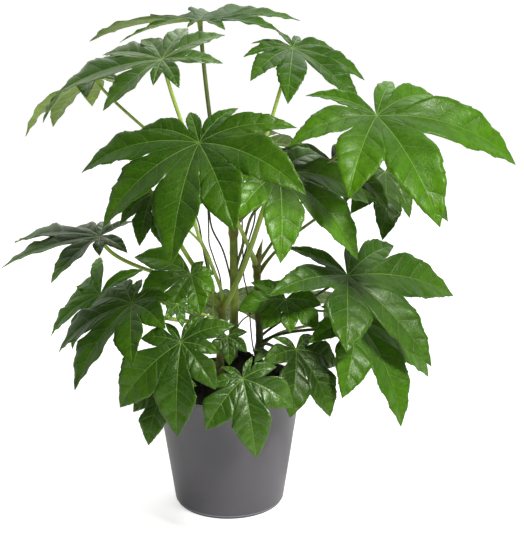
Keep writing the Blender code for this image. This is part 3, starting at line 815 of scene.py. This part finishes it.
def lowerFaceMaterial(veins):
    look = lowerLook
    material, tree, shader = newMaterial("leafLowerFace", Roughness=0.62)
    _, _, fresh, (_, sideVeins, net) = leafSurface(tree, veins, veinPlan["sideWidthBelow"])
    green = layered(
        look["old"], (fresh, look["young"]),
        (fade(noiseAt(tree, 14.0, 4.0), 0.35, 0.75, 0.0, 0.35), look["patch"]),
        (net * 0.25, look["net"]), (sideVeins * 0.7, look["vein"]))
    feed(shader.inputs, {"Base Color": green})
    addBump(shader, net, 0.35, 0.0004)
    return material


def ribMaterial():
    material, tree, shader = newMaterial("leafRib", Roughness=0.5)
    dark, light = lowerLook["rib"]
    feed(shader.inputs, {"Base Color": layered(dark, (fade(noiseAt(tree, 30.0), 0.3, 0.7), light))})
    addBump(shader, noiseAt(tree, 400.0), 0.3, 0.0003)
    return material


def makeLeaves():
    veins = veinGroup()
    faces = {"Upper Face": upperFaceMaterial(veins), "Lower Face": lowerFaceMaterial(veins),
             "Rib": ribMaterial()}
    tree = leafTree(bendLobeGroup())
    for number, (name, plan) in enumerate(leaves.items()):
        piece = addPiece("blade_" + name, netFor(plan, number))
        grow(piece, tree, {**faces, "Lean": blade["lean"] * sin(radians(plan["dip"])),
                           "Rise": radians(blade["rise"] + plan["arch"] / 2)})
        piece.data.transform(Matrix.Translation(plan["hub"]) @ leafTurn(plan).to_4x4())
        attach(piece, "root")
        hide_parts("leaf_" + name)
    print("leaves:", len(leaves))


# Stems and leaf stalks: lines with a radius at each point, made round by geometry nodes
wood = dict(
    baseHeight=0.152,
    sides=14,
    stemPoints=110,
    wander=0.0012,
    rings=39,
    ringSpacing=0.034,
    ringHeight=0.00066,
    ringWidth=0.0022,
    scarHeight=0.0011,
    scarWidth=0.006,
    scarBrown=0.4,
    stalkPoints=40,
    stalkRadius=0.0031,
    stalkDepth=0.0006,  # how far it ends under the blade
    leaving=(0.6, 0.8, 0.3),  # how far it leaves outwards and upwards, and for how much of its way
    footRadius=0.0052,
    footReach=0.09,
    headSwell=0.0012,
    headReach=0.035,
    footBrown=0.7,
    brownReach=0.06,
    smallLeaf=0.1,  # leaves with no longer lobe have thinner stalks
    smallShare=0.75,
    sideStalkSteps=8,
    sideStalkFoot=0.6,
    sideStalkBrown=0.6,
    scaleSteps=8,
    scaleDepth=0.008,
    scaleRing=0.0035,
)


def hump(away, width):  # 1 at nothing away, and soon 0
    return exp(-(away / width) ** 2)


def stemAxis(plan, height):
    low, high = wood["baseHeight"], plan["top"][2]
    share = (height - low) / (high - low)
    x, y = [between(foot, top, share) for foot, top in zip(plan["foot"], plan["top"])]
    return Vector((x + plan["bow"] * sin(pi * share), y, height))


def stalkCurve(plan):  # one cubic curve from scar to hub
    start = stemAxis(stems[plan["stem"]], plan["scar"])
    down = leafTurn(plan) @ Vector((0, 0, -1))
    end = Vector(plan["hub"]) + down * wood["stalkDepth"]
    length = (end - start).length
    outward = Vector((end.x - start.x, end.y - start.y, 0)).normalized()
    out, up, reach = wood["leaving"]
    first = start + (outward * out + Vector((0, 0, up))) * length * reach
    second = end + down * length * plan["turn"]
    points = []
    for t in shares(wood["stalkPoints"]):
        s = 1 - t
        points.append(start * s ** 3 + first * 3 * s * s * t + second * 3 * s * t * t + end * t ** 3)
    return points


def sideStalkLine(name, reach, radius, litShare, *places):
    goal = stalkCurve(leaves[name])[round(reach * wood["stalkPoints"])]
    knots = [Vector(metres(place)) for place in places] + [goal]
    points = []
    for index in range(len(knots) - 1):  # a Catmull-Rom curve through the places
        before, start, end = knots[max(index - 1, 0)], knots[index], knots[index + 1]
        after = knots[min(index + 2, len(knots) - 1)]
        points += [start + (end - before) * t / 2 + (2 * before - 5 * start + 4 * end - after) * t * t / 2
                   + (3 * start - before - 3 * end + after) * t ** 3 / 2
                   for t in shares(wood["sideStalkSteps"])[:-1]]
    points.append(goal)
    along = shares(len(points) - 1)
    radii = [radius / 1000 * (1 + wood["sideStalkFoot"] * hump(share, 0.08)) for share in along]
    browns = [wood["sideStalkBrown"] * hump(share, wood["brownReach"]) for share in along]
    return points, radii, browns, 1.0, litShare


def stemLine(plan, scars):
    points, radii, browns = [], [], []
    low, high = wood["baseHeight"], plan["top"][2]
    rings = [low + wood["ringSpacing"] * number for number in range(1, wood["rings"] + 1)]
    for share in shares(wood["stemPoints"]):
        height = between(low, high, share)
        point = stemAxis(plan, height)
        wander = wood["wander"] * sin(share * pi)
        point.x += wander * noise.noise(Vector((height * 14, plan["foot"][0] * 90, 0)))
        point.y += wander * noise.noise(Vector((height * 14, plan["foot"][0] * 90, 7)))
        radius = between(*plan["radii"], share)
        for ring in rings:
            radius += wood["ringHeight"] * hump(height - ring, wood["ringWidth"])
        brown = 0
        for scar in scars:
            radius += wood["scarHeight"] * hump(height - scar, wood["scarWidth"])
            brown += hump(height - scar + 0.003, 0.007)
        points.append(point)
        radii.append(radius)
        browns.append(wood["scarBrown"] * min(brown, 1))
    return points, radii, browns, 0.0, plan["litShare"]


def stalkLine(plan):
    small = max(length for _, length, _, _ in plan["lobes"]) < wood["smallLeaf"]
    size = plan["thick"] * (wood["smallShare"] if small else 1.0)
    along = shares(wood["stalkPoints"])
    radii = [size * (between(wood["stalkRadius"], wood["footRadius"], hump(share, wood["footReach"]))
                     + hump(1 - share, wood["headReach"]) * wood["headSwell"]) for share in along]
    browns = [wood["footBrown"] * hump(share, wood["brownReach"]) for share in along]
    return stalkCurve(plan), radii, browns, 1.0, plan["stalk"]


def tipLines(plan):  # the growing tip: pointed scales round the top of a stem, green or dried brown
    lines = []
    top = Vector(plan["top"])
    for turn, length, width, lean, brown in plan["scales"]:
        length, width = metres((length, width))
        out = Vector((cos(radians(turn)), sin(radians(turn)), 0))
        points, radii = [], []
        for share in shares(wood["scaleSteps"]):
            away = wood["scaleRing"] + lean * length * share ** 1.5
            points.append(top + out * away + Vector((0, 0, length * share - wood["scaleDepth"])))
            radii.append(width * (1 - share ** 2.2) * (0.75 + 0.5 * sin(pi * share)) + 0.0003)
        lines.append((points, radii, [brown] * len(points), 1.0, 0.9))
    return lines


def linesMesh(lines):  # each line is (points, radii, brown shares, kind, how lit it is); kind 0 is stem, 1 is stalk, and how lit runs from painted shade (0) to lit (1)
    places, edges, radii, limbs, litShares = [], [], [], [], []
    for points, sizes, browns, kind, litShare in lines:
        first = len(places)
        last = len(points) - 1
        places += [tuple(point) for point in points]
        edges += [(first + i, first + i + 1) for i in range(last)]
        radii += sizes
        limbs += [(kind, brown, i / last) for i, brown in enumerate(browns)]
        litShares += [litShare] * len(points)
    mesh = bpy.data.meshes.new("lines")
    mesh.from_pydata(places, edges, [])
    addAttribute(mesh, "limbRadius", radii)
    addAttribute(mesh, "limb", limbs)
    addAttribute(mesh, "limbTone", litShares)
    return mesh


def limbTree():
    tree, given, result = makeGroup("roundLimbs", "GeometryNodeTree", [
        ("Lines", "Geometry"), ("Sides", "Int", wood["sides"]), ("Surface", "Material")],
        [("Limbs", "Geometry")])
    curve = shaped("MeshToCurve", {"Mesh": given["Lines"]})
    tube = tubeAlong(curve, given["Sides"], readAttribute(tree, "limbRadius", "FLOAT"))
    feed(result, {"Limbs": covered(finished(tube), given["Surface"])})
    return tree


woodLook = dict(
    bark=colour(122, 138, 52),
    barkLight=colour(150, 166, 60),
    barkShade=colour(48, 64, 18),
    brown=colour(104, 84, 26),
    foot=colour(34, 34, 18),
    stalkInPaintedShade=colour(40, 52, 16),
    stalkLight=colour(162, 186, 84),
    stalkHead=colour(166, 190, 92),
)


def woodMaterial():
    look = woodLook
    material, tree, shader = newMaterial("stemAndStalk", Specular_IOR_Level=0.35)
    kind, brown, share = split(readSurface(tree, "limb", "Vector"))
    litShare = readSurface(tree, "limbTone")
    place = objectPlace(tree)
    stretched = addNode("ShaderNodeMapping", {"Vector": place, "Scale": (1.0, 1.0, 0.12)})
    streaks = noiseAt(tree, 260.0, 4.0, 0.6, stretched)
    patches = noiseAt(tree, 26.0, 3.0)
    bark = layered(
        look["bark"],
        (fade(patches, 0.38, 0.64), look["barkLight"]),
        # painted shade: the less lit the stem, the more its bark takes the shaded colour
        (fade(litShare, 0.0, 1.0, 0.9, 0.0), look["barkShade"]),
        (fade(streaks, 0.45, 0.8, 0.0, 0.45), look["barkLight"]),
        (fade(noiseAt(tree, 38.0, 3.0), 0.50, 0.66, 0.0, 0.5), look["brown"]),
        (fade(split(place)[2], 0.32, 0.43, 0.75, 0.0), look["foot"]))
    stalk = layered(
        # painted shade: a stalk in shade is dark, a lit one light green
        look["stalkInPaintedShade"],
        (fade(litShare, 0.1, 1.0), look["stalkLight"]),
        (fade(streaks, 0.4, 0.8, 0.0, 0.35), look["bark"]),
        (fade(share, 0.92, 1.0, 0.0, 0.6), look["stalkHead"]))
    browned = brown * fade(patches, 0.25, 0.6, 0.6, 1.0)
    feed(shader.inputs, {"Base Color": layered(bark, (kind, stalk), (browned, look["brown"])),
                         "Roughness": fade(streaks, 0.3, 0.8, 0.35, 0.6)})
    addBump(shader, streaks, 0.5, 0.0006)
    return material


def makeStems():
    tree = limbTree()
    surface = woodMaterial()
    for key, plan in stems.items():
        own = [leafPlan for leafPlan in leaves.values() if leafPlan["stem"] == key]
        lines = [stemLine(plan, [leafPlan["scar"] for leafPlan in own])]
        lines += [stalkLine(leafPlan) for leafPlan in own]
        lines += [sideStalkLine(*stalk) for stalk in sideStalks[key]]
        lines += tipLines(plan)
        piece = grow(addPiece("wood_" + key, linesMesh(lines)), tree, {"Surface": surface})
        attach(piece, "root")
        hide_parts("stem_" + key)
    print("stems:", len(stems))


# Pot: a profile turned round the axis by geometry nodes
potPlan = dict(
    height=0.240,
    rimRadius=0.140,
    baseRadius=0.106,
    wall=0.0045,
    floor=0.006,
    innerCorner=0.003,
    footHeight=0.0042,
    footInset=0.0016,
    footRounding=(0.0005, 0.0006),  # across and up
    bevel=0.0008,
    stops=(0.03, 0.08, 0.14, 0.20),
    rimSteps=10,
    sides=160,
    footHighlightWidth=0.0026,
)


def potRadius(height):
    return between(potPlan["baseRadius"], potPlan["rimRadius"], height / potPlan["height"])


def potProfile():
    wall, floor, foot = potPlan["wall"], potPlan["floor"], potPlan["footHeight"]
    corner, bevel = potPlan["innerCorner"], potPlan["bevel"]
    across, up = potPlan["footRounding"]
    rim = potPlan["height"] - wall / 2
    base = potRadius(0) - potPlan["footInset"]
    points = [(0, 0), (base - bevel, 0), (base, bevel), (base, foot - up),
              (potRadius(foot) - across, foot), (potRadius(foot + up), foot + up)]
    points += [(potRadius(height), height) for height in (*potPlan["stops"], rim - 0.002)]
    for share in shares(potPlan["rimSteps"]):
        radius = potPlan["rimRadius"] - wall / 2 + wall / 2 * cos(pi * share)
        points.append((radius, rim + wall / 2 * sin(pi * share)))
    heights = (*reversed(potPlan["stops"]), floor + corner)
    points += [(potRadius(height) - wall, height) for height in heights]
    return points + [(potRadius(floor) - wall - corner, floor), (0, floor)]


def turnTree():
    # a profile drawn in the XZ plane is turned round Z; the ring that carries it has this radius
    carrier = 0.1
    tree, given, result = makeGroup("turnProfile", "GeometryNodeTree", [
        ("Profile", "Geometry"), ("Sides", "Int", potPlan["sides"]), ("Surface", "Material")],
        [("Turned", "Geometry")])
    x, _, z = split(shaped("InputPosition", {}, tree=tree))
    flat = addNode("ShaderNodeCombineXYZ", {"X": x - carrier, "Y": z * -1.0})
    curve = shaped("MeshToCurve", {"Mesh": given["Profile"]})
    curve = shaped("SetPosition", {"Geometry": curve, "Position": flat})
    ring = shaped("CurvePrimitiveCircle", {"Resolution": given["Sides"], "Radius": carrier})
    ring = shaped("SetCurveNormal", {"Curve": ring}, mode="Z_UP")
    swept = shaped("CurveToMesh", {"Curve": ring, "Profile Curve": curve})
    welded = shaped("MergeByDistance", {"Geometry": swept, "Distance": 0.00005})
    feed(result, {"Turned": covered(finished(welded), given["Surface"])})
    return tree


potLook = dict(
    greys=(colour(83, 80, 85), colour(92, 89, 94)),
    grain=colour(100, 95, 102),
    paintedFootHighlight=colour(158, 160, 168),
)


def potMaterial():
    material, tree, shader = newMaterial("potGrey", Coat_Weight=0.15, Coat_Roughness=0.3)
    cloud = noiseAt(tree, 7.0, 4.0)
    grain = noiseAt(tree, 900.0, 2.0)
    height = split(objectPlace(tree))[2]
    # a pale band painted just above the foot's step stands for the highlight along its edge
    low = potPlan["footHeight"]
    high = low + potPlan["footHighlightWidth"]
    paintedFootHighlight = fade(height, low - 0.0004, low + 0.0004) * fade(height, high - 0.0006, high + 0.0004, 1.0, 0.0)
    dark, light = potLook["greys"]
    grey = layered(dark, (fade(cloud, 0.3, 0.7), light),
                   (fade(grain, 0.45, 0.75, 0.0, 0.15), potLook["grain"]), (paintedFootHighlight * 0.75, potLook["paintedFootHighlight"]))
    feed(shader.inputs, {"Base Color": grey, "Roughness": fade(cloud, 0.3, 0.7, 0.36, 0.48)})
    addBump(shader, grain, 0.15, 0.0002)
    return material


def finishOutwards(piece):  # faces out, and shading broken only at real edges
    mesh = piece.data
    body = bmesh.new()
    body.from_mesh(mesh)
    bmesh.ops.recalc_face_normals(body, faces=body.faces)
    body.to_mesh(mesh)
    body.free()
    mesh.set_sharp_from_angle(angle=radians(35))


def makePot():
    profile = potProfile()
    mesh = bpy.data.meshes.new("potProfile")
    mesh.from_pydata([(x, 0, z) for x, z in profile], [(i, i + 1) for i in range(len(profile) - 1)], [])
    piece = grow(addPiece("pot_shell", mesh), turnTree(), {"Surface": potMaterial()})
    finishOutwards(piece)
    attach(piece, "root")
    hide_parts("pot")
    print("pot")


# Soil: a rough bed that fills the pot, with crumbs scattered on it
soilPlan = dict(
    edgeHeight=0.222,
    moundHeight=0.290,
    moundCentre=(0.022, 0.025),
    moundRadius=0.105,
    roughness=0.012,
    lumps=40,
    grains=130,
    grainHeight=0.0022,
    sunk=0.001,
    clearance=0.0005,
    rings=70,
    lowRings=(0.15, 0.08),
    sides=144,
    crumbsPerSquareMetre=52000,
    crumbsAbove=0.20,
    crumbSize=0.0021,
    crumbStretch=((0.35, 0.3, 0.25), (1.5, 1.0, 0.8)),
    seed=4,
)


def soilHeight(x, y):
    centre, edge = soilPlan["moundCentre"], soilPlan["edgeHeight"]
    away = hypot(x - centre[0], y - centre[1]) / soilPlan["moundRadius"]
    mound = 0.5 + 0.5 * cos(pi * min(away, 1))
    spot = Vector((x, y, 0))
    rough = noise.noise(spot * soilPlan["lumps"]) * soilPlan["roughness"] * mound
    crumbly = noise.fractal(spot * soilPlan["grains"], 0.9, 2.1, 4) * soilPlan["grainHeight"]
    return edge + mound * (soilPlan["moundHeight"] - edge) + rough + crumbly - soilPlan["sunk"]


def soilMesh():
    def inner(height):
        return potRadius(height) - potPlan["wall"] - soilPlan["clearance"]

    sides = soilPlan["sides"]
    floor = potPlan["floor"] + soilPlan["clearance"]
    edge = inner(soilPlan["edgeHeight"])
    rows = [(edge * share, None) for share in shares(soilPlan["rings"])[1:]]
    rows += [(inner(height), height) for height in soilPlan["lowRings"]]
    rows.append((inner(floor) - potPlan["innerCorner"], floor))
    places, faces, rings = [], [], []
    for radius, height in rows:
        rings.append(range(len(places), len(places) + sides))
        for side in range(sides):
            x = radius * cos(tau * side / sides)
            y = radius * sin(tau * side / sides)
            places.append((x, y, height or soilHeight(x, y)))
    top = len(places)
    places += [(0, 0, soilHeight(0, 0)), (0, 0, floor)]
    for low, high in zip(rings, rings[1:]):
        for side in range(sides):
            after = (side + 1) % sides
            faces.append((low[side], high[side], high[after], low[after]))
    for side in range(sides):
        after = (side + 1) % sides
        faces.append((top, rings[0][side], rings[0][after]))
        faces.append((top + 1, rings[-1][after], rings[-1][side]))
    mesh = bpy.data.meshes.new("soilBed")
    mesh.from_pydata(places, [], faces)
    return mesh


def soilTree():
    tree, given, result = makeGroup("strewSoil", "GeometryNodeTree", [
        ("Bed", "Geometry"), ("Crumb Size", "Float", soilPlan["crumbSize"]),
        ("Crumbs Per Area", "Float", soilPlan["crumbsPerSquareMetre"]),
        ("Lowest", "Float", soilPlan["crumbsAbove"]), ("Seed", "Int", soilPlan["seed"]),
        ("Surface", "Material")], [("Soil", "Geometry")])
    height = split(shaped("InputPosition", {}, tree=tree))[2]
    top = addNode("FunctionNodeCompare", {0: height, 1: given["Lowest"]}, operation="GREATER_THAN")
    points = shaped("DistributePointsOnFaces", {
        "Mesh": given["Bed"], "Selection": top, "Density": given["Crumbs Per Area"], "Seed": given["Seed"]})
    crumb = shaped("MeshIcoSphere", {"Radius": given["Crumb Size"], "Subdivisions": 1})
    turn = addNode("FunctionNodeRandomValue", {
        0: (0, 0, 0), 1: (6.28, 6.28, 6.28), "Seed": 5}, tree=tree, data_type="FLOAT_VECTOR")
    turn = addNode("FunctionNodeEulerToRotation", {0: turn})
    least, most = soilPlan["crumbStretch"]
    size = addNode("FunctionNodeRandomValue", {
        0: least, 1: most, "Seed": 6}, tree=tree, data_type="FLOAT_VECTOR")
    crumbs = shaped("InstanceOnPoints", {
        "Points": points, "Instance": crumb, "Rotation": turn, "Scale": size})
    real = shaped("RealizeInstances", {"Geometry": joined(given["Bed"], crumbs)})
    feed(result, {"Soil": covered(real, given["Surface"])})
    return tree


def soilMaterial():
    material, tree, shader = newMaterial("pottingSoil", Roughness=0.95, Specular_IOR_Level=0.12)
    clumps = noiseAt(tree, 60.0, 4.0)
    bits = noiseAt(tree, 420.0, 3.0)
    feed(shader.inputs, {"Base Color": layered(
        colour(8, 8, 5), (fade(clumps, 0.3, 0.7), colour(22, 19, 12)),
        (fade(bits, 0.58, 0.78, 0.0, 0.45), colour(46, 40, 26)))})
    addBump(shader, bits, 0.8, 0.0008)
    return material


def makeSoil():
    piece = grow(addPiece("soil_bed", soilMesh()), soilTree(), {"Surface": soilMaterial()})
    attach(piece, "root")
    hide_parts("soil")
    print("soil")


# Studio: a white floor that runs on as the backdrop, soft light and the photograph's camera
studio = dict(
    cameraPlace=(0.064, -2.0, 0.985),
    cameraPitch=14.7,
    filmWidth=36,
    lens=1100 / 540 * 36,
    floorSize=400.0,
    floorGlow=(0.15, 0.45),  # on the plant, and more of it for the camera
    roomLight=(0.12, 1.5),  # in front of the plant, and the white wall behind it
    mirrorShare=-0.50,  # the gloss mirrors less than the room
    lamps={"key": ((1.5, -1.6, 2.6), 98, 0.5), "back": ((0.6, 2.8, 3.0), 45, 3.0)},  # place, power, size
    lampAim=(0.0, 0.0, 0.5),
)


def makeFloor():
    size = studio["floorSize"] / 2
    mesh = bpy.data.meshes.new("studioFloor")
    corners = [(-size, -size, 0), (size, -size, 0), (size, size, 0), (-size, size, 0)]
    mesh.from_pydata(corners, [], [(0, 1, 2, 3)])
    floor = addPiece("studio_floor", mesh)
    material, tree, shader = newMaterial(
        "paleFloor", Roughness=0.9, Base_Color=(0.80, 0.80, 0.80, 1), Emission_Color=(1.0, 1.0, 1.0, 1))
    seen = addNode("ShaderNodeLightPath", {}, "Is Camera Ray", tree)
    low, more = studio["floorGlow"]
    feed(shader.inputs, {"Emission Strength": calc("MULTIPLY_ADD", seen, more, low)})
    mesh.materials.append(material)


def makeRoom():
    world = bpy.data.worlds.new("studio")
    bpy.context.scene.world = world
    world.use_nodes = True
    tree = world.node_tree
    _, back, _ = split(addNode("ShaderNodeTexCoord", {}, "Generated", tree))
    mirrored, seen = addNode("ShaderNodeLightPath", {}, ("Is Glossy Ray", "Is Camera Ray"), tree)
    room = fade(back, -0.1, 0.8, *studio["roomLight"])
    room = room * calc("MULTIPLY_ADD", mirrored, studio["mirrorShare"], 1.0)
    feed(tree.nodes["Background"].inputs, {
        "Color": (1.0, 1.0, 1.0, 1), "Strength": calc("MAXIMUM", room, seen)})


def makeStudio():
    makeFloor()
    makeRoom()
    scene = bpy.context.scene
    camera = addPiece("camera", bpy.data.cameras.new("camera"))
    camera.location = studio["cameraPlace"]
    camera.rotation_euler = (radians(90 - studio["cameraPitch"]), 0, 0)
    camera.data.lens = studio["lens"]
    camera.data.sensor_width = studio["filmWidth"]
    scene.camera = camera
    for name, (place, power, width) in studio["lamps"].items():
        light = bpy.data.lights.new(name, "AREA")
        light.energy = power
        light.size = width
        lamp = addPiece(name, light)
        lamp.location = place
        aim = Vector(studio["lampAim"]) - Vector(place)
        lamp.rotation_euler = aim.to_track_quat("-Z", "Y").to_euler()
    scene.view_settings.view_transform = "Standard"
    print("studio")


makeLeaves()
makeStems()
makePot()
makeSoil()
makeStudio()

triangles = {piece.name: sum(len(face.vertices) - 2 for face in piece.data.polygons)
             for piece in bpy.data.objects if piece.type == "MESH" and not piece.hide_render}
print("triangles:", sum(triangles.values()), "most:", max(triangles.items(), key=lambda item: item[1]))
